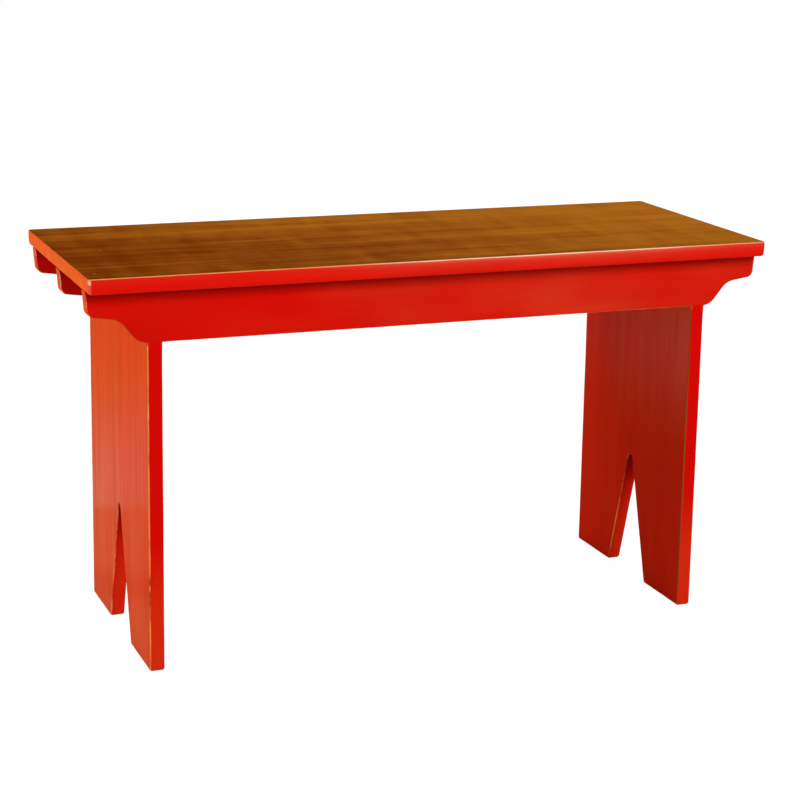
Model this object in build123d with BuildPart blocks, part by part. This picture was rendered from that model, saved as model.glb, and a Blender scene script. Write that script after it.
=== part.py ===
from build123d import *
from math import radians, tan
import os

# A bucket bench: a plank top on three long rails with ogee noses, the rails let into
# the top ends of two board legs, and everything fastened with nails set and filled.
# X runs along the bench, Y from the front to the back and Z up from the floor. The
# origin is on the floor under the middle of the bench. All sizes are in millimetres.

# Overall sizes
bench_length = 914.4
bench_depth = 355.6
bench_height = 508.0

# Top board
top_thickness = 20.0
top_side_overhang = 23.8  # from an outer rail's face to the edge of the top
top_end_overhang = 76.2  # from a leg's outer face to the end of the top
top_corner_radius = 5.0
top_arris_radius = 1.5
top_lower_arris_radius = 3.0

# Legs
leg_thickness = 19.05
leg_arris_radius = 1.6
foot_arris_radius = 3.0  # round the feet's soles

# Notch that makes two feet of each leg, two saw cuts that run into a bored crown
foot_notch_width = 111.0
foot_notch_peak = 190.5  # where the two saw cuts would meet
foot_notch_crown_radius = 6.35

# Rails
rail_height = 66.7
rail_thickness = 19.05
rail_end_inset = 1.2  # from the end of the top to the end of a rail
rail_arris_chamfer = 1.2
rail_slot_clearance = 0.2  # each side of the middle rail, in the legs

# Nose and ogee at both ends of a rail
nose_height = 31.0
nose_end_lean = 2.6  # how far the end leans in from its top to its lower corner
nose_corner_radius = 9.0
nose_slope = 8.0  # degrees, the underside of the nose drops towards the leg
ogee_angle = 51.0  # degrees, the straight stretch between the cove and the round
ogee_cove_radius = 25.0
ogee_round_radius = 20.0
ogee_start = 9.3  # from the leg's outer face to the turn up from the rail's lower edge

# Finish nails of flat wire, driven with the wide side of the head along the bench
nail_length = 38.0
nail_thickness = 1.4
nail_shank_width = 1.6
nail_head_width = 2.9
nail_head_height = 1.2
nail_point_length = 2.5
nail_set = 1.6  # the head's depth below the board's face, filled flush
nail_clearance = 0.05  # all round a nail and its filling

# Places of the nails
end_nail_inset = 15.0  # outer rails, from the end of the top
nose_nail_inset = 56.0  # middle rail, from the end of the top
inner_nail_offset = 92.0  # all rails, either side of the middle of the bench
leg_nail_offset = 72.0  # top ends of the legs, either side of the middle rail
side_nail_height = 12.0  # rail to leg, above the rail's lower edge
side_nail_pitch = 21.0

# Heights and distances that follow
underside = bench_height - top_thickness
rail_bottom = underside - rail_height
leg_width = bench_depth - 2 * top_side_overhang
leg_outer_x = bench_length / 2 - top_end_overhang
leg_middle_x = leg_outer_x - leg_thickness / 2
rail_end_x = bench_length / 2 - rail_end_inset
outer_rail_y = leg_width / 2 - rail_thickness / 2

# The nose's underside and the ogee's straight stretch meet at the cove's corner
nose_corner_x = rail_end_x - nose_end_lean
nose_corner_z = underside - nose_height
ogee_x = leg_outer_x + ogee_start
rise = tan(radians(ogee_angle))
drop = tan(radians(nose_slope))
cove_x = (nose_corner_z - rail_bottom + ogee_x * rise - nose_corner_x * drop) / (rise - drop)
cove_z = rail_bottom + (cove_x - ogee_x) * rise

os.makedirs("parts", exist_ok=True)


def save(piece, name):
    """Labels a finished piece and writes it to its own file."""
    piece.label = name
    export_step(piece, f"parts/{name}.step")


def four_ways(x, y):
    """A spot in each quarter of the bench."""
    return [(side * x, end * y) for side in (-1, 1) for end in (-1, 1)]


def two_ways(x):
    """A spot on the middle line at each side of the bench."""
    return [(side * x, 0) for side in (-1, 1)]


# Nails down through the top into the rails and the legs. A nail's place lies on the face
# of the board that it enters, with Z out of the board.
end_spots = four_ways(bench_length / 2 - end_nail_inset, outer_rail_y)
corner_spots = four_ways(leg_middle_x, outer_rail_y)
inner_spots = four_ways(inner_nail_offset, outer_rail_y)
middle_spots = two_ways(bench_length / 2 - nose_nail_inset) + two_ways(inner_nail_offset)
leg_spots = four_ways(leg_middle_x, leg_nail_offset)
top_spots = end_spots + corner_spots + inner_spots + middle_spots + leg_spots
top_nail_places = [Pos(x, y, bench_height) for x, y in top_spots]

# Nails through the outer rails into the edges of the legs
first_height = rail_bottom + side_nail_height
rail_nail_places = [
    Plane(origin=(x, y, z), x_dir=(1, 0, 0), z_dir=(0, y, 0)).location
    for x, y in four_ways(leg_middle_x, leg_width / 2)
    for z in (first_height, first_height + side_nail_pitch)
]
nail_places = top_nail_places + rail_nail_places

# Outline of one nail, its head set below the board's face at zero height
with BuildSketch() as nail_outline:
    with BuildLine():
        Polyline(
            (0, -nail_set),
            (nail_head_width / 2, -nail_set),
            (nail_head_width / 2, -nail_set - nail_head_height),
            (nail_shank_width / 2, -nail_set - nail_head_height),
            (nail_shank_width / 2, -nail_set - nail_length + nail_point_length),
            (0, -nail_set - nail_length),
        )
        mirror(about=Plane.YZ)
    make_face()

# Outline of the filling over its head
with BuildSketch() as filling_outline:
    Rectangle(nail_head_width, nail_set, align=(Align.CENTER, Align.MAX))

with BuildPart() as nail:
    with BuildSketch(Plane.XZ):
        add(nail_outline.sketch)
    extrude(amount=nail_thickness / 2, both=True)

with BuildPart() as filling:
    with BuildSketch(Plane.XZ):
        add(filling_outline.sketch)
    extrude(amount=nail_thickness / 2, both=True)

# What a nail and its filling take out of every board that they pass through
with BuildPart() as nail_hole:
    with BuildSketch(Plane.XZ):
        add(nail_outline.sketch)
        add(filling_outline.sketch)
        offset(amount=nail_clearance, kind=Kind.INTERSECTION)
    extrude(amount=nail_thickness / 2 + nail_clearance, both=True)

# Top board, its upper arris lightly eased and its lower one rounded over
with BuildPart() as top_board:
    with BuildSketch(Plane.XY.offset(underside)):
        RectangleRounded(bench_length, bench_depth, top_corner_radius)
    extrude(amount=top_thickness)
    fillet(top_board.faces().sort_by(Axis.Z)[-1].edges(), top_arris_radius)
    fillet(top_board.faces().sort_by(Axis.Z)[0].edges(), top_lower_arris_radius)
    with Locations(*nail_places):
        add(nail_hole.part, mode=Mode.SUBTRACT)
save(top_board.part, "top_board")

# Outline shared by the rails: a straight lower edge that sweeps up at each end through a
# round and a cove to the blunt nose
with BuildSketch() as rail_outline:
    with BuildLine():
        FilletPolyline(
            (0, rail_bottom),
            (ogee_x, rail_bottom),
            (cove_x, cove_z),
            (nose_corner_x, nose_corner_z),
            (rail_end_x, underside),
            radius=[ogee_round_radius, ogee_cove_radius, nose_corner_radius],
        )
        mirror(about=Plane.YZ)
        Line((-rail_end_x, underside), (rail_end_x, underside))
    make_face()

# The outer rails stand flush with the edges of the legs, the middle one halfway
rail_middles = {"front_rail": -outer_rail_y, "middle_rail": 0, "rear_rail": outer_rail_y}
for rail_name, rail_y in rail_middles.items():
    with BuildPart() as rail:
        with BuildSketch(Plane.XZ.offset(-rail_y)):
            add(rail_outline.sketch)
        extrude(amount=rail_thickness / 2, both=True)
        broad_face_edges = rail.faces().filter_by(Axis.Y).edges()
        below_top = broad_face_edges.filter_by_position(Axis.Z, 0, underside, (True, False))
        chamfer(below_top, rail_arris_chamfer)
        with Locations(*nail_places):
            add(nail_hole.part, mode=Mode.SUBTRACT)
    save(rail.part, rail_name)

# Legs: a board on end, its corners notched for the outer rails, slotted for the middle
# rail and cut out below into two feet
leg_starts = {"left_leg": -leg_outer_x, "right_leg": leg_outer_x - leg_thickness}
from_below = (Align.CENTER, Align.MIN)
for leg_name, leg_start in leg_starts.items():
    with BuildPart() as leg:
        with BuildSketch(Plane.YZ.offset(leg_start)):
            Rectangle(leg_width, underside, align=from_below)
            with Locations((-outer_rail_y, rail_bottom), (outer_rail_y, rail_bottom)):
                Rectangle(rail_thickness, rail_height, align=from_below, mode=Mode.SUBTRACT)
            with Locations((0, rail_bottom)):
                slot_width = rail_thickness + 2 * rail_slot_clearance
                Rectangle(slot_width, rail_height, align=from_below, mode=Mode.SUBTRACT)
            with BuildLine():
                FilletPolyline(
                    (-foot_notch_width / 2, 0),
                    (0, foot_notch_peak),
                    (foot_notch_width / 2, 0),
                    radius=foot_notch_crown_radius,
                )
                Line((foot_notch_width / 2, 0), (-foot_notch_width / 2, 0))
            make_face(mode=Mode.SUBTRACT)
        extrude(amount=leg_thickness)
        soles = leg.faces().group_by(Axis.Z)[0]
        fillet(soles.edges(), foot_arris_radius)
        broad_face_edges = leg.faces().filter_by(Axis.X).edges()
        heights = (foot_arris_radius, rail_bottom)
        fillet(
            broad_face_edges.filter_by_position(Axis.Z, *heights, (False, False)),
            leg_arris_radius,
        )
        with Locations(*nail_places):
            add(nail_hole.part, mode=Mode.SUBTRACT)
    save(leg.part, leg_name)

# The nails and the fillings, a group for the top and a group for the rails
for board_name, places in {"top": top_nail_places, "rail": rail_nail_places}.items():
    with BuildPart() as nails:
        with Locations(*places):
            add(nail.part)
    save(nails.part, f"{board_name}_nails")
    with BuildPart() as fillings:
        with Locations(*places):
            add(filling.part)
    save(fillings.part, f"{board_name}_nail_fillings")
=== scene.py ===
from math import pi, radians

import bmesh
import bpy
import numpy as np
from bpy.props import FloatProperty, FloatVectorProperty, PointerProperty
from mathutils import Euler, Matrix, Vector


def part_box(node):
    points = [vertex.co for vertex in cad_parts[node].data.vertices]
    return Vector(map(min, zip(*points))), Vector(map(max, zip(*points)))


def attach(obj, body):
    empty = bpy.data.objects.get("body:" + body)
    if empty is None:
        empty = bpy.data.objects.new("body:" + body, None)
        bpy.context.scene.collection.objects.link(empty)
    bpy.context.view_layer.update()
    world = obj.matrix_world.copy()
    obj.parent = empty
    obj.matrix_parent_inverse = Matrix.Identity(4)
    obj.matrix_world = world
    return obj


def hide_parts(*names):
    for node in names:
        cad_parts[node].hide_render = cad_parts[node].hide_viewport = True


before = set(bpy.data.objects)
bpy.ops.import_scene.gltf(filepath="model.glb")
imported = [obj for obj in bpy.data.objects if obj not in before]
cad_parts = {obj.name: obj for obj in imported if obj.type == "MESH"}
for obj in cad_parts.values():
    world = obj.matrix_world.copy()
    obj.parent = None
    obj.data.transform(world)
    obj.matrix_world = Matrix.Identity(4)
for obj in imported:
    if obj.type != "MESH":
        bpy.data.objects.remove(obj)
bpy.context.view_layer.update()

# A bucket bench: a stained plank top with painted edges on three ogee-nosed rails and
# two board legs, all in red paint that is rubbed through along the arrises. X runs along
# the bench, Y from the front to the back and Z up from the floor, all in metres.

bl_info = {
    "name": "Bucket bench",
    "version": (1, 0, 0),
    "blender": (4, 5, 0),
    "location": "3D View > Sidebar > Bucket bench",
    "description": "Dresses the boards of a painted bucket bench and sets up its studio",
    "category": "Object",
}

BODY = "root"
RAILS = ("front_rail", "middle_rail", "rear_rail")
LEGS = ("left_leg", "right_leg")


# ---------------------------------------------------------------------------- settings


def length(name, description, default):
    """A size in metres that a user may change."""
    return FloatProperty(name=name, description=description, default=default, unit="LENGTH")


def share(name, description, default):
    """A share from 0 to 1."""
    return FloatProperty(
        name=name, description=description, default=default, min=0.0, max=1.0, subtype="FACTOR"
    )


def colour(name, description, default):
    """A linear colour."""
    return FloatVectorProperty(
        name=name, description=description, default=default, min=0.0, max=1.0, subtype="COLOR"
    )


class TopSettings(bpy.types.PropertyGroup):
    """Rounds and crown of the top's edges."""

    corner_radius: length("Corner radius", "Round of the four corners, seen from above", 0.005)
    upper_radius: length("Upper arris", "Round of the upper arris", 0.0015)
    lower_radius: length("Lower arris", "Round of the lower arris", 0.0030)
    edge_fall: length("Edge fall", "How far the crowned edge falls in at the bottom", 0.0012)


class RailSettings(bpy.types.PropertyGroup):
    """The arrises of the rails, and their noses and ogees."""

    arris_radius: length("Arris", "Round of the lower arrises", 0.0012)
    nose_arris_radius: length("Nose arris", "Round of the arrises at the blunt ends", 0.0019)
    nose_height: length("Nose height", "Height of the blunt end", 0.031)
    nose_end_lean: length("Nose lean", "How far the end leans in at its lower corner", 0.0026)
    nose_corner_radius: length("Nose corner", "Round of the nose's lower corner", 0.009)
    nose_slope: FloatProperty(
        name="Nose slope",
        description="Fall of the nose's underside towards the leg",
        default=radians(8.0),
        subtype="ANGLE",
    )
    ogee_angle: FloatProperty(
        name="Ogee angle",
        description="Rise of the stretch between the cove and the round",
        default=radians(51.0),
        subtype="ANGLE",
    )
    cove_radius: length("Cove radius", "Radius of the hollow of the ogee", 0.025)
    round_radius: length("Round radius", "Radius of the swell of the ogee", 0.020)
    ogee_start: length("Ogee start", "From the leg's outer face to the turn up", 0.0093)


class LegSettings(bpy.types.PropertyGroup):
    """The arrises of the legs, the foot notch and the slot for the middle rail."""

    arris_radius: length("Arris", "Round of the upright arrises", 0.0020)
    sole_radius: length("Sole arris", "Round of the arrises at the floor", 0.003)
    notch_width: length("Notch width", "Width of the foot notch at the floor", 0.111)
    notch_peak: length("Notch peak", "Height where the two saw cuts would meet", 0.1905)
    crown_radius: length("Notch crown", "Round at the top of the foot notch", 0.00635)
    slot_clearance: length("Slot clearance", "Each side of the middle rail", 0.0002)


class FinishSettings(bpy.types.PropertyGroup):
    """Colours of the finishes and of what shows under them."""

    paint: colour("Paint", "Red paint where it is whole", (0.62, 0.0022, 0.0009))
    # Painted shade: a dark colour laid over the paint where shade falls, under the top and in the
    # notches
    soot: colour("Painted shade", "Dark dirt on the paint in corners", (0.03, 0.0015, 0.001))
    paint_dark: colour("Thin paint", "Red paint where it is thin or dirty", (0.42, 0.003, 0.0015))
    # Painted light: a brighter copy of the red paint for the top's edges, where more light falls
    # on them
    lit_edge_paint: colour("Edge paint", "Red paint on the edges of the top", (0.70, 0.0026, 0.0010))
    paint_sheen: colour("Paint sheen", "Light that the paint throws at a slant", (1.0, 0.50, 0.09))
    # Painted reflection: a warm pale colour mixed into the paint where the top's edges and the
    # rails show reflections, and on the legs' edges painted light from the floor
    warm_reflection: colour("Painted reflection", "Dull wax on the top's edges and the rails", (1.0, 0.78, 0.38))
    # Painted reflection on the legs' broad faces
    leg_face_reflection: colour("Painted face reflection", "Pale bloom on the broad faces of the legs", (1.0, 0.85, 0.47))
    # Painted sheen: the yellow-orange that faces seen at a slant show, mixed into the paint's
    # colour
    amber_sheen: colour("Painted amber sheen", "Bloom that has turned yellow", (1.0, 0.85, 0.14))
    stain_light: colour("Light stain", "Light streaks of the stained top", (0.485, 0.161, 0.0095))
    stain_dark: colour("Dark stain", "Dark streaks of the stained top", (0.157, 0.0202, 0.0001))
    bare_wood: colour("Bare wood", "Wood that shows where the finish is gone", (0.73, 0.25, 0.048))
    # Grime is real dirt on some arrises and painted shade on the ogees and the right leg's arris
    grime_and_shade: colour("Grime", "Old dirt in rubbed places out of reach", (0.22, 0.045, 0.012))
    # Primer is real wear at the knocks and also a painted highlight on the noses and the top's
    # front arris
    primer_and_highlight: colour("Primer", "Pale ground that shows where the paint is thin", (0.93, 0.60, 0.44))
    filling: colour("Filling", "Putty over the nail heads of the top", (0.42, 0.25, 0.12))
    steel: colour("Steel", "Finish nails", (0.36, 0.35, 0.34))
    setback: length("Setback", "How far the boards' faces lie below the fillings", 0.0001)


class StageSettings(bpy.types.PropertyGroup):
    """The floor and the light."""

    floor_radius: length("Floor radius", "Radius of the pale floor", 12.0)
    key_power: FloatProperty(
        name="Key light", description="Power of the lamp at the left", default=25.5, unit="POWER"
    )
    fill_power: FloatProperty(
        name="Fill light", description="Power of the lamp in front", default=208.0, unit="POWER"
    )
    back_power: FloatProperty(
        name="Back light", description="Power of the lamp behind", default=105.0, unit="POWER"
    )
    ambient: share("Ambient", "Strength of the light from all round", 0.35)


# ---------------------------------------------------------------------------- surfaces


# Wear and painted light of a surface, point by point. rub is how far its finish is rubbed off,
# tone what shows there, from grime at -1, on some arrises a painted shade, through bare wood at 0
# to pale primer at 1, on some arrises a painted highlight. The third is a painted reflection and
# sheen mixed into the paint's colour, yellow where the tone is -1 and pale where it is 0, and the
# fourth is painted shade, a dark colour laid over both where shade falls
WEAR = ("rub", "tone", "bloom", "soot")

# Rows of the strip that runs round a board from one broad face to the other. A support row
# at each end of it keeps the broad face flat.
ARRIS_ROWS = 6
EDGE_ROWS = 5
SUPPORT_REACH = 1.4  # from the outline, in arris radii
SUPPORT_MARGIN = 0.0003  # added to that
ARRIS_ROOM, SUPPORT_ROOM = 0.90, 0.97  # shares of the room at a tight corner that they may take

ARC_STEP = radians(9)  # between two points of a rounded corner
ROW_SPACING = 0.008  # across a broad face
SHARP_ARRIS = 0.00005  # radius of an arris that is left sharp
FACE_WAVE = 0.17  # from one hollow of a planed face to the next
FACE_SINK = 0.00004  # depth of half such a hollow
SHADING_BREAK = radians(40)  # faces that meet at a larger angle are shaded apart
BROAD_FACE = 0.75  # least part of a broad face's unit normal that lies along the thickness


def unevenness(places, wavelength, seed):
    """Smooth seeded noise between about -1 and 1 at an array of 3-D places.

    Eight sine waves that run in random directions, from a third shorter than the wavelength
    to half as long again, are added and divided by the square root of their number.
    """
    random = np.random.default_rng(seed)
    waves = 8
    directions = random.normal(size=(waves, 3))
    directions /= np.linalg.norm(directions, axis=1, keepdims=True)
    turns = 2 * pi / (wavelength * random.uniform(0.67, 1.5, waves))
    starts = random.uniform(0, 2 * pi, waves)
    return np.sin(places @ directions.T * turns + starts).sum(-1) / np.sqrt(waves)


def ramp(value, low, high):
    """0 below low, 1 above high and a smooth cubic rise between them."""
    share_of_way = np.clip((value - low) / (high - low), 0.0, 1.0)
    return share_of_way**2 * (3 - 2 * share_of_way)


def fade(value, low, high):
    """1 below low, 0 above high and a smooth cubic fall between them."""
    return 1 - ramp(value, low, high)


def swell(value, rise, fall, loss):
    """0 to 1 over the range of the rise, from where a share is lost over that of the fall."""
    return ramp(value, *rise) * (1 - loss * ramp(value, *fall))


def blend(share_of_high, low, high):
    """low where the share is 0, high where it is 1."""
    return low + (high - low) * share_of_high


def hump(value, middle, width):
    """1 in the middle, from where it falls off to both sides like a bell."""
    return np.exp(-(((value - middle) / width) ** 2))


def rounded_line(corners, radii):
    """Points of a line through corners, each rounded by an arc that is tangent to its runs.

    An arc of radius r at a corner where the line turns by a starts r * tan(a / 2) before
    the corner, and its centre is r to the side that the line turns to.
    """
    corners = np.asarray(corners, float)
    points = [corners[:1]]
    for before, corner, after, radius in zip(corners, corners[1:], corners[2:], radii):
        way_in, way_out = corner - before, after - corner
        way_in, way_out = way_in / np.linalg.norm(way_in), way_out / np.linalg.norm(way_out)
        cross = way_in[0] * way_out[1] - way_in[1] * way_out[0]
        turn = np.arctan2(cross, way_in @ way_out)
        start = corner - way_in * radius * np.tan(abs(turn) / 2)
        left = np.array([-way_in[1], way_in[0]]) * np.sign(turn)
        angles = np.linspace(0, abs(turn), max(2, int(abs(turn) / ARC_STEP) + 2))[:, None]
        points.append(start + radius * (np.sin(angles) * way_in + (1 - np.cos(angles)) * left))
    return np.concatenate(points + [corners[-1:]])


def matched(lower, upper, spacing):
    """Both lines cut at the same shares of their lengths, which take in every corner of both."""

    def shares(line):
        runs = np.linalg.norm(np.diff(line, axis=0), axis=1)
        return np.concatenate([[0], np.cumsum(runs)]) / runs.sum(), runs.sum()

    lower_shares, lower_length = shares(lower)
    upper_shares, _ = shares(upper)
    even = np.linspace(0, 1, int(lower_length / spacing) + 1)
    cuts = np.unique(np.concatenate([lower_shares, upper_shares]).round(7))
    closest = 0.3 * spacing / lower_length
    far_from_corners = np.abs(even[:, None] - cuts).min(1) > closest
    cuts = np.sort(np.concatenate([cuts, even[far_from_corners]]))

    def cut(line, line_shares):
        return np.stack([np.interp(cuts, line_shares, line[:, axis]) for axis in (0, 1)], 1)

    return cut(lower, lower_shares), cut(upper, upper_shares)


def outward(ring):
    """Mitred outward normals of a closed ring that runs anticlockwise.

    The normals of the two runs at a corner are added and divided by one plus their dot
    product, so that moving a corner along the result moves both its runs by the same step.
    """
    runs = np.roll(ring, -1, axis=0) - ring
    normals = np.stack([runs[:, 1], -runs[:, 0]], 1) / np.linalg.norm(runs, axis=1)[:, None]
    before = np.roll(normals, 1, axis=0)
    return (normals + before) / (1 + (normals * before).sum(1))[:, None]


def room_inside(ring, normals):
    """How far each corner of a closed ring can move inwards before two of them meet.

    A run whose ends' normals spread apart shrinks as it moves in. It is gone after the square
    of its length, divided by the dot product of the run with the difference of the normals.
    Within a millimetre of such a run the room stays the same, and from there on it grows by a
    tenth of the distance.
    """
    level_reach, growth_share, least_spread = 0.001, 0.1, 1e-9
    runs = np.roll(ring, -1, axis=0) - ring
    spread = ((np.roll(normals, -1, axis=0) - normals) * runs).sum(1)
    room = (runs**2).sum(1) / np.maximum(spread, least_spread)
    distances = np.linalg.norm(ring[:, None] - ring, axis=-1)
    growth = growth_share * np.maximum(distances - level_reach, 0)
    return (np.minimum(room, np.roll(room, 1)) + growth).min(1)


class Board:
    """A board as one closed surface.

    Its outline is a lower and an upper line with a straight side at each end. Each broad
    face is ruled between the two lines, and a strip of rows runs round the outline from
    one face to the other: a quarter circle over the first arris, the edge, and a quarter
    circle over the second. place turns a point's two outline coordinates and its height
    in the board's thickness into X, Y and Z.
    """

    def __init__(self, lower, upper, thickness, place, spacing=0.005):
        self.thickness = thickness
        self.place = place
        lower, upper = matched(lower, upper, spacing)
        self.columns = len(lower)
        self.rows = int(np.linalg.norm(upper - lower, axis=1).max() / ROW_SPACING) + 3
        climb = np.linspace(0, 1, self.rows)[1:-1, None]
        right = lower[-1] + climb * (upper[-1] - lower[-1])
        left = upper[0] + climb * (lower[0] - upper[0])
        self.ring = np.concatenate([lower, right, upper[::-1], left])
        self.normals = outward(self.ring)
        self.room = room_inside(self.ring, self.normals)

    def ring_places(self, height):
        """X, Y and Z of the outline at one height in the thickness."""
        return self.place(self.ring[:, 0], self.ring[:, 1], np.full(len(self.ring), height))

    def strip(self, first_radius, second_radius, crown_share, crown_fall):
        """Inset, height and arris share of each row of the strip, along the whole ring.

        The edge is crowned: it stands furthest out at crown_share of its way down and
        falls in by a parabola that reaches crown_fall at the second face. Where a corner is
        tight, the insets stop short of the room inside, so that no two rows cross.
        """
        turn = np.linspace(0, pi / 2, ARRIS_ROWS)[:, None]
        middle = np.linspace(0, 1, EDGE_ROWS + 2)[1:-1, None]
        first, second = first_radius[None], second_radius[None]
        inset, depth, on_arris = 1 - np.sin(turn), 1 - np.cos(turn), np.sin(2 * turn) ** 0.5
        blank = np.zeros_like(first)
        insets = [
            first * SUPPORT_REACH + SUPPORT_MARGIN,
            first * inset,
            middle * blank,
            second * inset[::-1],
            second * SUPPORT_REACH + SUPPORT_MARGIN,
        ]
        depths = [
            blank,
            first * depth,
            first + middle * (self.thickness - first - second),
            self.thickness - second * depth[::-1],
            self.thickness + blank,
        ]
        arris = [blank, on_arris + blank, middle * blank, on_arris[::-1] + blank, blank]
        insets, depths, arris = (np.concatenate(rows) for rows in (insets, depths, arris))
        steepness = crown_fall / (1 - crown_share) ** 2
        insets = insets + steepness * (depths / self.thickness - crown_share) ** 2
        room_share = np.full((len(insets), 1), ARRIS_ROOM)
        room_share[[0, -1]] = SUPPORT_ROOM
        return np.minimum(insets, room_share * self.room), self.thickness / 2 - depths, arris

    def face_grid(self, row, inner_start):
        """Vertex numbers of one broad face, its border taken from a row of the strip."""
        border = row * len(self.ring) + np.arange(len(self.ring))
        grid = np.empty((self.columns, self.rows), int)
        grid[:, 0] = border[: self.columns]
        grid[-1, 1:-1] = border[self.columns : self.columns + self.rows - 2]
        grid[:, -1] = border[self.columns + self.rows - 2 :][: self.columns][::-1]
        grid[0, 1:-1] = border[2 * self.columns + self.rows - 2 :][::-1]
        inner = (self.columns - 2) * (self.rows - 2)
        grid[1:-1, 1:-1] = inner_start + np.arange(inner).reshape(self.columns - 2, -1)
        return grid

    def face_points(self, border):
        """Outline coordinates inside one broad face, from those of its border.

        Each column runs straight from the lower to the upper line. It is then shifted by how
        far the left and the right side stray from straight lines, in shares that follow its
        place between them, so that no column crosses a side.
        """
        count, turn = self.columns, self.columns + self.rows - 2
        climb = np.linspace(0, 1, self.rows)[1:-1, None]
        low, high = border[:count], border[turn : turn + count][::-1]
        right, left = border[count:turn], border[turn + count :][::-1]
        flat = low[1:-1, None] + climb * (high - low)[1:-1, None]
        left_stray = left - (low[0] + climb * (high[0] - low[0]))
        right_stray = right - (low[-1] + climb * (high[-1] - low[-1]))
        across = ((low[1:-1, 0] - low[0, 0]) / (low[-1, 0] - low[0, 0]))[:, None, None]
        return flat + (1 - across) * left_stray + across * right_stray

    def build(self, name, first_radius, second_radius, wear, seed, crown=(0.5, 0.0)):
        """The board's mesh object.

        wear takes the places of all points, how far each lies on an arris and whether it is
        nearer to the first face, and gives its wear attributes, as described for WEAR. crown
        is the crown_share and the crown_fall of the strip.
        """
        insets, heights, arris = self.strip(first_radius, second_radius, *crown)
        outline = self.ring - self.normals * insets[..., None]
        ring_size = len(self.ring)
        strip_points = np.concatenate([outline, heights[..., None]], -1)

        grids, inner_points, start = [], [], insets.size
        for row in (0, len(insets) - 1):
            flat = self.face_points(outline[row])
            height = np.full(flat.shape[:2] + (1,), heights[row].mean())
            inner_points.append(np.concatenate([flat, height], -1).reshape(-1, 3))
            grids.append(self.face_grid(row, start))
            start += len(inner_points[-1])
        points = np.concatenate([strip_points.reshape(-1, 3)] + inner_points)
        places = self.place(points[:, 0], points[:, 1], points[:, 2])

        # Planed faces are never quite flat, so the surface sinks here and there, never swells
        sink = FACE_SINK * (1 + unevenness(places, FACE_WAVE, seed)) * np.sign(points[:, 2])
        near_faces = np.abs(points[:, 2]) / (self.thickness / 2)
        points[:, 2] -= sink * ramp(near_faces, 0.5, 1.0)
        places = self.place(points[:, 0], points[:, 1], points[:, 2])

        rows = np.arange(len(insets) * ring_size).reshape(-1, ring_size)
        beside = np.roll(rows, -1, axis=1)
        quads = [np.stack([rows[:-1], rows[1:], beside[1:], beside[:-1]], -1).reshape(-1, 4)]
        for grid in grids:
            corners = [grid[:-1, :-1], grid[1:, :-1], grid[1:, 1:], grid[:-1, 1:]]
            quads.append(np.stack(corners, -1).reshape(-1, 4))
        on_arris = np.concatenate([arris.ravel(), np.zeros(len(points) - arris.size)])
        return mesh_object(
            name, places, np.concatenate(quads), wear(places, on_arris, points[:, 2] > 0)
        )


def mesh_object(name, places, quads, wear):
    """A smooth object from arrays of places and quads, its sides facing out."""
    mesh = bpy.data.meshes.new(name)
    mesh.from_pydata(places, [], quads.tolist())
    for attribute, values in zip(WEAR, wear):
        mesh.attributes.new(attribute, "FLOAT", "POINT").data.foreach_set("value", values)
    shell = bmesh.new()
    shell.from_mesh(mesh)
    bmesh.ops.recalc_face_normals(shell, faces=shell.faces)
    shell.to_mesh(mesh)
    shell.free()
    mesh.shade_smooth()
    mesh.set_sharp_from_angle(angle=SHADING_BREAK)
    piece = bpy.data.objects.new(name, mesh)
    bpy.context.scene.collection.objects.link(piece)
    return piece


# ----------------------------------------------------------------------------- finishes


class Network:
    """A node tree and a short way to add nodes to it."""

    def __init__(self, tree):
        self.tree = tree

    def feed(self, socket, value):
        """Links a socket to another one, or sets its value."""
        if isinstance(value, bpy.types.NodeSocket):
            self.tree.links.new(value, socket)
        else:
            socket.default_value = value

    def node(self, kind, sockets=None, **settings):
        """Adds a node, with settings on itself and values or links on its sockets."""
        node = self.tree.nodes.new(f"ShaderNode{kind}")
        for name, value in settings.items():
            setattr(node, name, value)
        for socket, value in (sockets or {}).items():
            self.feed(node.inputs[socket], value)
        return node

    def maths(self, operation, first, second):
        """One operation on two values."""
        return self.node("Math", {0: first, 1: second}, operation=operation).outputs[0]

    def seen(self):
        """1 where the camera looks, also in a reflection or through glass, and 0 for light."""
        path = self.node("LightPath").outputs
        seen = self.maths("MAXIMUM", path["Is Camera Ray"], path["Is Glossy Ray"])
        return self.maths("MAXIMUM", seen, path["Is Transmission Ray"])


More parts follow.
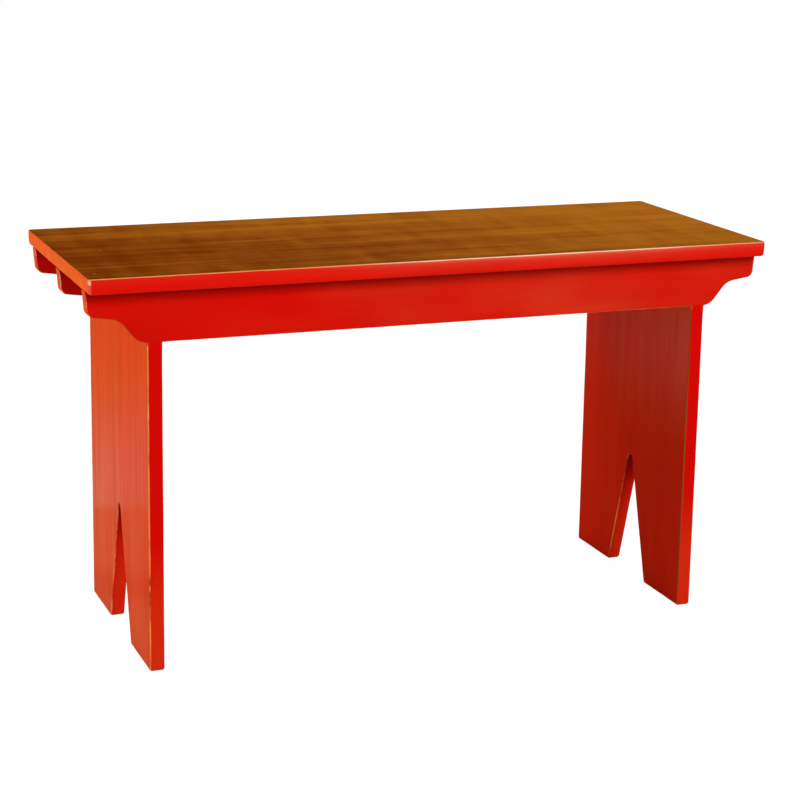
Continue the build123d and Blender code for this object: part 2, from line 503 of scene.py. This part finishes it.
class Finish(Network):
    """A material, with the patterns and the wear that the finishes share."""

    def __init__(self, name):
        self.material = bpy.data.materials.new(name)
        self.material.use_nodes = True
        super().__init__(self.material.node_tree)
        self.shader = self.tree.nodes["Principled BSDF"]

    def noise(self, stretch, detail=3.0, roughness=0.55, distortion=0.0):
        """Noise on the object's own coordinates, stretched along the grain."""
        spot = self.node("TexCoord").outputs["Object"]
        scaled = self.node("Mapping", {"Vector": spot, "Scale": stretch}).outputs["Vector"]
        settings = {
            "Vector": scaled,
            "Scale": 1.0,
            "Detail": detail,
            "Roughness": roughness,
            "Distortion": distortion,
        }
        return self.node("TexNoise", settings).outputs["Fac"]

    def place(self):
        """X, Y and Z of the object's own coordinates."""
        spot = self.node("TexCoord").outputs["Object"]
        return self.node("SeparateXYZ", {"Vector": spot}).outputs

    def between(self, value, low, high, to_low=0.0, to_high=1.0):
        """A value moved smoothly from one range to another and held inside it."""
        settings = {
            "Value": value,
            "From Min": low,
            "From Max": high,
            "To Min": to_low,
            "To Max": to_high,
        }
        return self.node("MapRange", settings, interpolation_type="SMOOTHSTEP").outputs["Result"]

    def mix(self, factor, first, second):
        """One colour laid over another."""
        settings = {"Factor": factor, "A": first, "B": second}
        node = self.node("Mix", data_type="RGBA")
        for socket in node.inputs:
            if socket.enabled and socket.name in settings:
                self.feed(socket, settings[socket.name])
        return next(socket for socket in node.outputs if socket.enabled)

    def set(self, **values):
        """Sets or links the shader's own sockets, named with underscores for spaces."""
        for name, value in values.items():
            self.feed(self.shader.inputs[name.replace("_", " ")], value)

    def bump(self, height, depth, strength):
        """Relief from a height between 0 and 1, depth metres deep."""
        settings = {"Height": height, "Distance": depth, "Strength": strength}
        self.set(Normal=self.node("Bump", settings).outputs["Normal"])

    def attribute(self, name):
        """A wear attribute of the mesh."""
        return self.node("Attribute", attribute_name=name).outputs["Fac"]

    def rubbed_share(self, grain_stretch):
        """Where the finish is rubbed through: the rub attribute with a broken outline."""
        still_whole, quite_bare, chipping = 0.25, 0.85, 0.14
        rub, chips = self.attribute("rub"), self.noise(grain_stretch, detail=4.0, roughness=0.7)
        broken = self.between(chips, 0.3, 0.7, -chipping, chipping)
        felt = self.maths("ADD", rub, self.maths("MULTIPLY", broken, self.between(rub, 0.0, 0.4)))
        return self.between(felt, still_whole, quite_bare)

    def bare(self, finish):
        """What shows under a rubbed finish, after the tone attribute."""
        tone = self.attribute("tone")
        dirty = self.between(tone, -1.0, 0.0, 1.0, 0.0)
        wood = self.mix(dirty, opaque(finish.bare_wood), opaque(finish.grime_and_shade))
        return self.mix(self.between(tone, 0.0, 1.0), wood, opaque(finish.primer_and_highlight))


def opaque(rgb):
    """A colour with full alpha."""
    return (*rgb, 1.0)


def stretched(grain_axis, along, across):
    """Scales for a pattern that is long along one axis."""
    return tuple(along if axis == grain_axis else across for axis in range(3))


def red_paint(finish, name, grain_axis, fresh, reflection_colour):
    """Old red paint, brushed along the grain, cloudy and rubbed through at the arrises, with a
    painted reflection, sheen and shade mixed into its colour.
    """
    thin_in_clouds, thin_in_streaks = 0.35, 0.16
    paint = Finish(name)
    clouds = paint.noise(stretched(grain_axis, 3.5, 9.0))
    streaks = paint.noise(stretched(grain_axis, 5.0, 260.0), roughness=0.6)
    thin = paint.maths("MULTIPLY", paint.between(clouds, 0.35, 0.75), thin_in_clouds)
    thin = paint.maths("ADD", thin, paint.between(streaks, 0.35, 0.7, 0.0, thin_in_streaks))
    painted = paint.mix(thin, opaque(fresh), opaque(finish.paint_dark))
    # Painted reflection and sheen: a pale or yellow colour mixed in after the third wear
    # attribute, spread unevenly
    reflection_spread = paint.noise(stretched(grain_axis, 4.0, 60.0), detail=2.0, roughness=0.6)
    reflection_spread = paint.between(reflection_spread, 0.3, 0.7, 0.80, 1.20)
    bloom = paint.maths("MULTIPLY", paint.attribute("bloom"), reflection_spread)
    yellow = paint.between(paint.attribute("tone"), -1.0, 0.0, 1.0, 0.0)
    reflected = paint.mix(yellow, opaque(reflection_colour), opaque(finish.amber_sheen))
    painted = paint.mix(bloom, painted, reflected)
    # Painted shade laid over the paint where the fourth wear attribute says
    painted = paint.mix(paint.attribute("soot"), painted, opaque(finish.soot))
    rubbed = paint.rubbed_share(stretched(grain_axis, 60.0, 500.0))
    paint.set(
        Base_Color=paint.mix(rubbed, painted, paint.bare(finish)),
        Roughness=paint.between(streaks, 0.3, 0.7, 0.48, 0.58),
        Specular_IOR_Level=0.001,
        Sheen_Weight=0.2,
        Sheen_Roughness=0.35,
        Sheen_Tint=opaque(finish.paint_sheen),
    )
    paint.bump(paint.maths("SUBTRACT", streaks, rubbed), 0.0001, 0.6)
    return paint.material


def stain_over_grain(stain, finish):
    """Wiped-on stain over fine long grain, with broad lighter and darker bands, and a painted
    reflection that lightens it towards the right and the back.
    """
    place = stain.place()
    fine = stain.noise((12.0, 700.0, 700.0), detail=2.0, roughness=0.6)
    broad_bands = stain.noise((1.6, 24.0, 24.0), roughness=0.5, distortion=0.5)
    bands = stain.noise((6.0, 90.0, 90.0), distortion=0.3)
    clouds = stain.noise((30.0, 9.0, 9.0))
    # X and Y in the sum are a painted reflection: lighter towards the right and the back of the
    # top
    parts = (place["X"], 0.68), (place["Y"], 0.84), (broad_bands, 0.8)
    parts += (bands, 0.55), (clouds, 0.6), (fine, 0.14)
    tone = -0.515  # sets the middle of the sum that follows
    for value, weight in parts:
        tone = stain.maths("ADD", stain.maths("MULTIPLY", value, weight), tone)
    light = stain.between(tone, -0.2, 1.2)
    return stain.mix(light, opaque(finish.stain_dark), opaque(finish.stain_light)), fine


def stained_wood(finish, name):
    """Stained wood that is bare where it is rubbed."""
    stain = Finish(name)
    wood, fine = stain_over_grain(stain, finish)
    rubbed = stain.rubbed_share((40.0, 400.0, 400.0))
    stain.set(
        Base_Color=stain.mix(rubbed, wood, stain.bare(finish)),
        Roughness=stain.between(fine, 0.3, 0.7, 0.50, 0.62),
        Specular_IOR_Level=0.0001,
    )
    stain.bump(fine, 0.00008, 0.5)
    return stain.material


def putty(finish, name):
    """Dry filling that took the stain of the wood, except in the noses at the front left."""
    filling = Finish(name)
    place = filling.place()
    past_left_noses = filling.between(place["X"], -0.42, -0.37)
    past_middle_rail = filling.between(place["Y"], 0.02, 0.1)
    stained = filling.maths("MAXIMUM", past_left_noses, past_middle_rail)
    wood, _ = stain_over_grain(filling, finish)
    filling.set(
        Base_Color=filling.mix(stained, opaque(finish.filling), wood),
        Roughness=0.7,
        Specular_IOR_Level=0.002,
    )
    return filling.material


def drawn_steel(finish, name):
    """Drawn nail wire with a dull, slightly scored skin."""
    steel = Finish(name)
    scores = steel.noise((2500.0, 2500.0, 60.0), detail=2.0)
    dull = tuple(0.6 * value for value in finish.steel)
    steel.set(
        Base_Color=steel.mix(steel.between(scores, 0.3, 0.7), opaque(dull), opaque(finish.steel)),
        Metallic=1.0,
        Roughness=0.42,
    )
    return steel.material


# ------------------------------------------------------------------------------- boards


def dress(piece, node, materials):
    """Stands a dressed board in for its CAD node."""
    for material in materials:
        piece.data.materials.append(material)
    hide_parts(node)
    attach(piece, BODY)


def of_faces(piece, name):
    """Three numbers for each face of a piece: its normal or its center."""
    values = np.empty(len(piece.data.polygons) * 3)
    piece.data.polygons.foreach_get(name, values)
    return values.reshape(-1, 3)


def use_second_material(piece, chosen):
    """Gives a board's second material to the chosen faces."""
    piece.data.polygons.foreach_set("material_index", chosen.astype(np.int32))


class BENCH_OT_top_board(bpy.types.Operator):
    """Make the stained top with its painted, crowned edges"""

    bl_idname = "bench.top_board"
    bl_label = "Top board"

    def execute(self, context):
        top, finish = context.scene.bench_top, context.scene.bench_finish
        low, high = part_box("top_board")
        end, side, radius = high.x, high.y, top.corner_radius
        corners = [(-end, 0), (-end, -side), (end, -side), (end, 0)]
        front = rounded_line(corners, [radius, radius])[1:-1]
        back = front * (1, -1)
        thickness = high.z - low.z - finish.setback
        middle = low.z + thickness / 2
        board = Board(
            front, back, thickness, lambda x, y, height: np.stack([x, y, height + middle], -1)
        )
        uneven = 0.08 * unevenness(board.ring_places(0.0), 0.05, seed=3)

        def wear(places, arris, upper):
            """The upper arris is rubbed all round, palest in front, right of the middle, as wear
            and a painted highlight.

            The front left corner has a pale knock under the arris, a painted highlight and
            reflection lie along the front edge, brightest at its arris, a painted sheen on the
            left end, and the paint underneath is thin and dirty.
            """
            x, y, z = places.T
            from_left, from_front, above = x + end, y + side, z - high.z
            at_left, at_front = fade(from_left, 0.002, 0.005), fade(from_front, 0.002, 0.006)
            beneath = z < low.z + 0.0004
            # One bell across the rounded corner, and one down the edge
            knock = hump(from_left + from_front, 0.6 * radius, 0.0010)
            knock *= hump(above, -0.0045, 0.0042)

            back_rub, front_rub, beneath_rub, knock_rub = 0.32, 1.0, 0.55, 0.66
            worn = blend(at_front, back_rub, front_rub) + 0.08 * unevenness(places, 0.03, seed=4)
            patches = beneath_rub + 0.2 * unevenness(places * (0.25, 1, 1), 0.05, seed=6)
            rub = np.maximum(arris * upper * worn, knock_rub * knock) + beneath * patches

            dull_tone, pale_tone, back_tone, beneath_tone, knock_tone = 0.15, 1.0, -0.35, -0.6, 1.6
            # The pale tone right of the middle on the front arris is wear and a painted highlight
            pale = swell(x, (-0.22, 0.12), (0.20, 0.42), 0.85)
            tone = blend(at_front, back_tone, blend(pale, dull_tone, pale_tone)) - 0.65 * at_left
            tone = blend(knock, np.where(beneath, beneath_tone, tone), knock_tone)

            # A painted highlight and reflection along the front edge, and a painted sheen on the
            # left end
            arris_highlight = 0.22 * swell(x, (-0.20, 0.06), (0.25, 0.42), 0.7)
            edge_reflection = 0.017 + 0.028 * swell(x, (-0.30, 0.10), (0.20, 0.42), 0.7)
            bloom = arris_highlight * np.exp(above / 0.0019) + edge_reflection * np.exp(above / 0.012)
            bloom = at_front * bloom + 0.11 * at_left * (1 - beneath)
            return rub, tone, bloom, np.zeros(len(places))

        piece = board.build(
            "dressed_top_board",
            top.upper_radius * (1 + uneven),
            top.lower_radius * (1 + uneven),
            wear,
            crown=(0.3, top.edge_fall),
            seed=5,
        )
        painted = red_paint(finish, "painted_edge", 0, finish.lit_edge_paint, finish.warm_reflection)
        materials = [stained_wood(finish, "stained_top"), painted]
        dress(piece, "top_board", materials)
        at_edges = of_faces(piece, "normal")[:, 2] < BROAD_FACE
        below = of_faces(piece, "center")[:, 2] < middle
        use_second_material(piece, at_edges | below)
        return {"FINISHED"}


def rail_profile(rail, ends, bottom, top, leg_face):
    """Lower line of a rail from end to end: nose, cove, round and the straight lower edge.

    The cove's corner is where two straight lines meet: the underside of the nose, which
    falls towards the leg by the tangent of its slope, and the stretch that climbs from the
    lower edge by the tangent of the ogee's angle. The left half mirrors the right one.
    """
    corner_x, corner_z = ends - rail.nose_end_lean, top - rail.nose_height
    ogee_x = leg_face + rail.ogee_start
    rise, drop = np.tan(rail.ogee_angle), np.tan(rail.nose_slope)
    cove_x = (corner_z - bottom + ogee_x * rise - corner_x * drop) / (rise - drop)
    cove_z = bottom + (cove_x - ogee_x) * rise
    right = [(0, bottom), (ogee_x, bottom), (cove_x, cove_z), (corner_x, corner_z), (ends, top)]
    radii = [rail.round_radius, rail.cove_radius, rail.nose_corner_radius]
    half = rounded_line(right, radii)
    return np.concatenate([half[:0:-1] * (-1, 1), half[1:]])


def make_rail(rail, finish, node, number, leg_inner, leg_outer, paint):
    """One rail, its arrises left sharp over the legs and under the top."""
    low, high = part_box(node)
    end, top = high.x, high.z
    nose_start, nose_full = end - rail.nose_corner_radius, end - 0.003
    thickness = high.y - low.y - 2 * finish.setback
    middle = (high.y + low.y) / 2
    lower = rail_profile(rail, end, low.z, top, leg_outer)
    side_run = 0.006  # the first and the last of the straight top are the outline's two sides
    upper = np.array([(side_run - end, top), (end - side_run, top)])
    board = Board(
        lower, upper, thickness, lambda x, z, height: np.stack([x, middle - height, z], -1)
    )
    ring = board.ring_places(0.0)
    along = np.abs(ring[:, 0])
    run_out = 0.006  # beside a leg, where an arris grows from sharp to eased
    over_leg = ramp(along, leg_inner - run_out, leg_inner)
    over_leg *= fade(along, leg_outer, leg_outer + run_out)
    eased = (1 - over_leg) * fade(ring[:, 2], top - 0.002, top)
    at_nose = ramp(along, nose_start, nose_full)
    radius = blend(at_nose, rail.arris_radius, rail.nose_arris_radius)
    uneven = 0.15 * unevenness(ring, 0.04, seed=20 + number)
    radius = radius * (1 + uneven) * eased + SHARP_ARRIS

    def wear(places, arris, front):
        """The noses wear pale up their ends, as wear and a painted highlight, and the ogees' lower
        arrises are rubbed to a dark tone, a painted shade, most on the left.

        Painted shade darkens the corner under the top, a painted reflection lies on the right
        half, and a painted sheen on the left ends.
        """
        x, y, z = places.T
        nose = ramp(np.abs(x), nose_start, nose_full)
        ogee = ramp(np.abs(x), leg_outer, leg_outer + 0.02)
        left_end = fade(x, -end + 0.006, -end + 0.012)
        left_end *= (np.abs(y - middle) < 0.45 * thickness) * (1 - arris)

        straight_rub, left_ogee_rub, nose_rub = 0.55, 0.75, 0.51
        rub = blend(ogee * (x < 0), straight_rub, left_ogee_rub)
        rub = blend(nose, rub, nose_rub)
        rub += blend(nose, 0.05, 0.11) * unevenness(places, 0.012, seed=60 + number)

        # The grime tone of the ogees is painted shade; the primer tone of the noses is wear and a
        # painted highlight
        straight_tone, ogee_tone, nose_tone = -0.2, -1.0, 0.9 if number else 0.3
        tone = blend(nose, blend(ogee, straight_tone, ogee_tone), nose_tone)
        tone = np.where(arris > 0, tone, blend(left_end, -0.5, -1.0))

        # Painted shade in the corner under the top, a painted reflection on the right half and a
        # painted sheen on the left ends
        corner_shade, least_reflection, right_reflection, end_sheen = 0.39, 0.004, 0.015, 0.09
        soot = corner_shade * ramp(z, top - 0.019, top - 0.001) * (1 - left_end)
        bloom = least_reflection + right_reflection * swell(x, (-0.28, 0.14), (0.18, 0.36), 0.6)
        bloom *= 1 + 0.3 * unevenness(places, 0.08, seed=80 + number)
        bloom += end_sheen * left_end
        return arris * rub, tone, bloom * (1 - 1.6 * soot), soot

    piece = board.build("dressed_" + node, radius, radius, wear, seed=30 + number)
    dress(piece, node, [paint])


class BENCH_OT_rails(bpy.types.Operator):
    """Make the three rails with their ogee noses"""

    bl_idname = "bench.rails"
    bl_label = "Rails"

    def execute(self, context):
        rail, finish = context.scene.bench_rails, context.scene.bench_finish
        leg_inner, leg_outer = (corner.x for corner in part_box("right_leg"))
        paint = red_paint(finish, "painted_rail", 0, finish.paint, finish.warm_reflection)
        for number, node in enumerate(RAILS):
            make_rail(rail, finish, node, number, leg_inner, leg_outer, paint)
        return {"FINISHED"}


def leg_outline(leg, half_width, top, shoulder, rail_depth, slot_half):
    """Lower line of a leg, foot and notch and foot, and its upper line, tongues and slot.

    The corners of the feet and the crown of the notch are arcs that are tangent to the
    straight runs on both sides. The shoulders, the tongues and the slot are square.
    """
    sole, notch = leg.sole_radius, leg.notch_width / 2
    feet = [(-half_width, 0), (-notch, 0), (0, leg.notch_peak), (notch, 0), (half_width, 0)]
    above = [(-half_width, shoulder / 2)] + feet + [(half_width, shoulder / 2)]
    lower = rounded_line(above, [sole, sole, leg.crown_radius, sole, sole])[1:-1]
    tongue = half_width - rail_depth
    right = [(slot_half, shoulder), (slot_half, top), (tongue, top), (tongue, shoulder)]
    right = np.array(right + [(half_width, shoulder)])
    return lower, np.concatenate([right[::-1] * (-1, 1), right])


def make_leg(leg, node, number, materials):
    """One leg, its arrises left sharp where the rails cover them."""
    rail_low, rail_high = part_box("rear_rail")
    low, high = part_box(node)
    side = np.sign(high.x + low.x)
    left_leg = side < 0
    thickness, middle = high.x - low.x, (high.x + low.x) / 2
    shoulder, rail_depth = rail_low.z, rail_high.y - rail_low.y
    slot_half = rail_depth / 2 + leg.slot_clearance
    crown = leg.notch_peak - 0.016  # the notch ends in a bored round, below its peak
    run_out = shoulder - 0.003  # from here up to the shoulder the arrises run out
    board = Board(
        *leg_outline(leg, high.y, high.z, shoulder, rail_depth, slot_half),
        thickness,
        lambda y, z, height: np.stack([middle + side * height, y, z], -1),
        spacing=0.004,
    )
    ring = board.ring_places(0.0)
    radius = leg.arris_radius * (1 + 0.10 * unevenness(ring, 0.045, seed=40 + number))
    radius = radius + fade(ring[:, 2], 0.0, 0.004) * (leg.sole_radius - leg.arris_radius)
    radius = radius * fade(ring[:, 2], run_out, shoulder) + SHARP_ARRIS

    def wear(places, arris, outside):
        """The left-hand arris of each leg is worn bare, and darkened on the right leg as painted
        shade.

        The left leg's has scuffs at both ends and a knock at the top. A painted reflection lies
        over the outer faces, on the left leg thickest in a belt that ends below at a slant, with a
        fainter stretch and a darker band under it, and over the inner faces high up in
        front. Painted light from the floor lies low on the edges, and painted shade darkens the
        notch.
        """
        x, y, z = places.T
        at_edges = ramp(np.abs(y), 0.075, 0.09)
        on_face = ramp(np.abs(x - middle) * 2 / thickness, 0.90, 0.98)
        knock = hump(x, low.x, 0.003) * hump(y, low.y, 0.003)
        knock *= hump(z, shoulder - 0.004, 0.003) * left_leg

        notch_rub, edge_rub, other_rub, knock_rub = 0.53, 0.81 if left_leg else 0.97, 0.2, 1.2
        worn = blend(at_edges, notch_rub + 0.06 * fade(z, 0.06, 0.12), edge_rub)
        worn += 0.15 * unevenness(places, 0.05, seed=70 + number)
        rub = arris * fade(z, run_out, shoulder - 0.001)
        rub *= np.where(outside == left_leg, worn, other_rub)

        # What the rubbed arrises show: grime on the right leg, which is painted shade, scuffs in
        # spots on the left one
        if left_leg:
            scuffs = hump(z, 0.100, 0.022) * (1 + 0.6 * unevenness(places, 0.008, seed=75))
            scuffs += 0.6 * hump(z, shoulder - 0.015, 0.007)
            dark_wear_and_shade = (0.2 + 0.7 * scuffs) * at_edges - 0.25 * unevenness(places, 0.03, seed=90)
        else:
            dark_wear_and_shade = 0.2 + 0.6 * at_edges + 0.3 * ramp(z, 0.25, shoulder)

        # Height over the slanted line where the belt of painted reflection ends, and what lies
        # above and below it
        slant_height, slant_fall, belt_reach, band_height = 0.172, 0.29, 0.15, -0.108
        over_slant = z - (slant_height - slant_fall * y)
        under_belt = fade(over_slant, -0.010, 0.002) * left_leg
        belt = hump(np.maximum(over_slant, 0), 0, belt_reach) * blend(under_belt, 1, 0.48)
        foot_band = under_belt * hump(over_slant, band_height, 0.022)
        high_inside = ramp(z, 0.18, 0.38)

        outer_reflection, belt_reflection, inner_reflection, high_reflection = 0.055, 0.058 + 0.16 * y, 0.014, 0.058
        outer = outer_reflection + belt_reflection * belt - 0.025 * foot_band
        inner = inner_reflection + high_reflection * high_inside * blend(ramp(y, -0.08, 0.15), 1, 0.25)
        bloom = on_face * np.where(outside, outer, inner)
        # Painted light from the floor on the edges near the feet
        bloom += blend(at_edges, 0.016, 0.022) * (1 - on_face) * fade(z, 0.05, 0.18)

        # The painted reflection is pale near the slant and high up inside, and amber elsewhere
        pale_belt = fade(over_slant, 0.04, 0.22) - 0.5 * under_belt
        reflection_tone = -1 + on_face * np.where(outside, pale_belt, high_inside)
        tone = blend(knock, np.where(arris > 0, -dark_wear_and_shade, reflection_tone), 1)

        # Painted shade in the notch, darkest at its crown
        least_shade, crown_shade = (0.0, 0.3) if left_leg else (0.06, 0.5)
        soot = least_shade + crown_shade * ramp(z, crown - 0.07, crown)
        soot *= (1 - on_face) * (1 - at_edges) * (z < shoulder)
        return np.maximum(rub, knock_rub * knock), tone, bloom, soot

    piece = board.build("dressed_" + node, radius, radius, wear, seed=50 + number)
    use_second_material(piece, np.abs(of_faces(piece, "normal")[:, 0]) < BROAD_FACE)
    dress(piece, node, materials)


class BENCH_OT_legs(bpy.types.Operator):
    """Make the two board legs, notched for the rails and cut out into feet"""

    bl_idname = "bench.legs"
    bl_label = "Legs"

    def execute(self, context):
        leg, finish = context.scene.bench_legs, context.scene.bench_finish
        faces = red_paint(finish, "painted_leg", 2, finish.paint, finish.leg_face_reflection)
        edges = red_paint(finish, "painted_leg_edge", 2, finish.paint, finish.warm_reflection)
        for number, node in enumerate(LEGS):
            make_leg(leg, node, number, [faces, edges])
        return {"FINISHED"}


class BENCH_OT_nails(bpy.types.Operator):
    """Give the finish nails their steel and the fillings over them their putty and paint"""

    bl_idname = "bench.nails"
    bl_label = "Nails and fillings"

    def execute(self, context):
        finish = context.scene.bench_finish
        steel = drawn_steel(finish, "nail_steel")
        painted = red_paint(finish, "painted_filling", 0, finish.paint, finish.warm_reflection)
        finishes = {
            "top_nails": steel,
            "rail_nails": steel,
            "top_nail_fillings": putty(finish, "top_putty"),
            "rail_nail_fillings": painted,
        }
        for node, material in finishes.items():
            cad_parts[node].data.materials.clear()
            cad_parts[node].data.materials.append(material)
        return {"FINISHED"}


# -------------------------------------------------------------------------------- stage


WHITE = (1.0, 1.0, 1.0)

# Each lamp's name, place, size and colour. All face the middle of the bench.
LAMPS = (
    ("key", (-2.4, 0.25, 0.85), 1.0, (1.0, 0.95, 0.88)),
    ("fill", (1.4, -4.7, 3.3), 2.6, WHITE),
    ("back", (2.2, 4.0, 2.6), 2.6, WHITE),
)
BENCH_MIDDLE = (0.0, 0.0, 0.3)

# The camera stands in front, to the left, and looks down at the bench
CAMERA_PLACE = (-0.9881, -2.5293, 0.9899)
CAMERA_DIP, CAMERA_TURN, CAMERA_ROLL = 12.395, -21.460, 0.998  # degrees
CAMERA_LENS, CAMERA_SENSOR, CAMERA_SHIFT = 93.367, 36.0, -0.1


def pale_floor(name):
    """A white floor that shows itself white and keeps a faint shadow of the bench."""
    paper_share, paper_strength = 0.88, 1.09
    floor = Finish(name)
    floor.set(Base_Color=(0.85, 0.85, 0.85, 1.0), Roughness=0.9, Specular_IOR_Level=0.0)
    paper = floor.node("Emission", {"Color": opaque(WHITE), "Strength": paper_strength})
    factor = floor.maths("MULTIPLY", floor.seen(), paper_share)
    sockets = {0: factor, 1: floor.shader.outputs["BSDF"], 2: paper.outputs["Emission"]}
    shown = floor.node("MixShader", sockets).outputs["Shader"]
    floor.feed(floor.tree.nodes["Material Output"].inputs["Surface"], shown)
    return floor.material


def studio_world(ambient):
    """Even light from all round that shows itself white to the camera and in reflections."""
    world = bpy.data.worlds.new("studio")
    world.use_nodes = True
    studio, nodes = Network(world.node_tree), world.node_tree.nodes
    soft = nodes["Background"]
    studio.feed(soft.inputs["Color"], opaque(WHITE))
    studio.feed(soft.inputs["Strength"], ambient)
    white = studio.node("Background", {"Color": opaque(WHITE), "Strength": 1.0})
    shown = studio.node("MixShader", {0: studio.seen(), 1: soft.outputs[0], 2: white.outputs[0]})
    studio.feed(nodes["World Output"].inputs["Surface"], shown.outputs[0])
    return world


def soft_lamp(name, place, size, rgb, power):
    """A square area lamp that faces the middle of the bench."""
    light = bpy.data.lights.new(name, "AREA")
    light.size, light.energy, light.color = size, power, rgb
    lamp = bpy.data.objects.new(name, light)
    lamp.location = place
    aim = Vector(BENCH_MIDDLE) - Vector(place)
    lamp.rotation_euler = aim.to_track_quat("-Z", "Y").to_euler()
    bpy.context.scene.collection.objects.link(lamp)


def camera():
    """The camera, level except for a small roll about its line of sight."""
    lens = bpy.data.cameras.new("camera")
    lens.lens, lens.sensor_width = CAMERA_LENS, CAMERA_SENSOR
    lens.shift_y = CAMERA_SHIFT
    body = bpy.data.objects.new("camera", lens)
    body.location = CAMERA_PLACE
    turn = Euler((radians(90 - CAMERA_DIP), 0.0, radians(CAMERA_TURN))).to_matrix()
    roll = Euler((0.0, 0.0, radians(CAMERA_ROLL))).to_matrix()
    body.rotation_euler = (turn @ roll).to_euler()
    bpy.context.scene.collection.objects.link(body)
    return body


class BENCH_OT_stage(bpy.types.Operator):
    """Set up the floor, the lamps, the background and the camera"""

    bl_idname = "bench.stage"
    bl_label = "Studio"

    def execute(self, context):
        scene, stage = context.scene, context.scene.bench_stage
        bpy.ops.mesh.primitive_circle_add(vertices=96, radius=stage.floor_radius, fill_type="NGON")
        floor = context.object
        floor.name = "floor"
        floor.data.materials.append(pale_floor("pale_floor"))

        scene.world = studio_world(stage.ambient)
        for name, place, size, rgb in LAMPS:
            soft_lamp(name, place, size, rgb, getattr(stage, name + "_power"))
        scene.camera = camera()
        scene.view_settings.view_transform = "Standard"
        return {"FINISHED"}


# ---------------------------------------------------------------------------------- add-on


SETTINGS = {
    "bench_top": TopSettings,
    "bench_rails": RailSettings,
    "bench_legs": LegSettings,
    "bench_finish": FinishSettings,
    "bench_stage": StageSettings,
}
OPERATORS = (
    BENCH_OT_top_board,
    BENCH_OT_rails,
    BENCH_OT_legs,
    BENCH_OT_nails,
    BENCH_OT_stage,
)


class BENCH_PT_sidebar(bpy.types.Panel):
    """Lists the steps that make the bench"""

    bl_label = "Bucket bench"
    bl_idname = "BENCH_PT_sidebar"
    bl_space_type = "VIEW_3D"
    bl_region_type = "UI"
    bl_category = "Bucket bench"

    def draw(self, context):
        for operator in OPERATORS:
            self.layout.operator(operator.bl_idname)


def register():
    for group in (*SETTINGS.values(), *OPERATORS, BENCH_PT_sidebar):
        bpy.utils.register_class(group)
    for name, group in SETTINGS.items():
        setattr(bpy.types.Scene, name, PointerProperty(type=group))


def unregister():
    for name in SETTINGS:
        delattr(bpy.types.Scene, name)
    for group in (BENCH_PT_sidebar, *OPERATORS, *SETTINGS.values()):
        bpy.utils.unregister_class(group)


def main():
    register()
    bpy.ops.bench.top_board()
    bpy.ops.bench.rails()
    bpy.ops.bench.legs()
    bpy.ops.bench.nails()
    bpy.ops.bench.stage()


if __name__ == "__main__":
    main()
